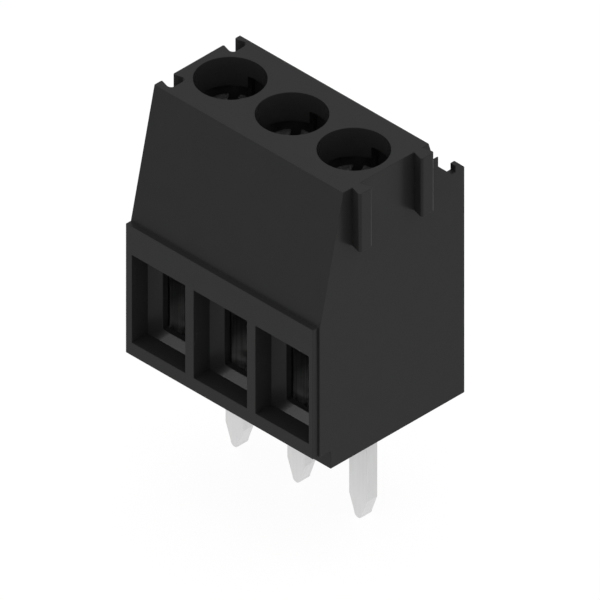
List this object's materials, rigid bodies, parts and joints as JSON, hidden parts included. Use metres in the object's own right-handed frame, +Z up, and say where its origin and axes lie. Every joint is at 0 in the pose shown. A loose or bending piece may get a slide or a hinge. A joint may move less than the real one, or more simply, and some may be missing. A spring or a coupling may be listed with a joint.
{
  "type": "pcb screw terminal",
  "caption": "Board-mounted terminal block: black housing with side wire entries, slotted screws turned from above, rising clamping yokes and solder pins.",
  "frame": {"origin": "centre of the middle solder pin on the board's upper face", "axes": "+Z up from the board, -Y towards the wire entries, +X along the row towards the ribbed side"},
  "size_m": [0.0113, 0.0085, 0.0182],
  "materials": {
    "housing": "matt black moulded polyamide",
    "yoke": "zinc plated steel sheet",
    "screw": "zinc plated, turned",
    "contact": "tin plated copper alloy sheet"
  },
  "bodies": {
    "terminal": {"housing": "housing", "contact_pin_1": "contact", "contact_pin_2": "contact", "contact_pin_3": "contact"},
    "screw_1": {"clamp_screw_1": "screw"},
    "yoke_1": {"clamp_yoke_1": "yoke"},
    "screw_2": {"clamp_screw_2": "screw"},
    "yoke_2": {"clamp_yoke_2": "yoke"},
    "screw_3": {"clamp_screw_3": "screw"},
    "yoke_3": {"clamp_yoke_3": "yoke"}
  },
  "joints": [
    {"name": "screw_turn_1", "type": "hinge", "parent": "terminal", "child": "screw_1", "pos_m": [-0.0035, -0.00053, 0.00855], "axis": [0, 0, -1], "range_deg": [0, 3240]},
    {"name": "yoke_rise_1", "type": "slide", "parent": "terminal", "child": "yoke_1", "axis": [0, 0, 1], "range_m": [0, 0.00359]},
    {"name": "screw_turn_2", "type": "hinge", "parent": "terminal", "child": "screw_2", "pos_m": [0, -0.00053, 0.00855], "axis": [0, 0, -1], "range_deg": [0, 3240]},
    {"name": "yoke_rise_2", "type": "slide", "parent": "terminal", "child": "yoke_2", "axis": [0, 0, 1], "range_m": [0, 0.00359]},
    {"name": "screw_turn_3", "type": "hinge", "parent": "terminal", "child": "screw_3", "pos_m": [0.0035, -0.00053, 0.00855], "axis": [0, 0, -1], "range_deg": [0, 3240]},
    {"name": "yoke_rise_3", "type": "slide", "parent": "terminal", "child": "yoke_3", "axis": [0, 0, 1], "range_m": [0, 0.00359]}
  ],
  "couplings": [
    {"joint": "screw_turn_1", "follows": "yoke_rise_1", "rad_per_m": 15708},
    {"joint": "screw_turn_2", "follows": "yoke_rise_2", "rad_per_m": 15708},
    {"joint": "screw_turn_3", "follows": "yoke_rise_3", "rad_per_m": 15708}
  ]
}
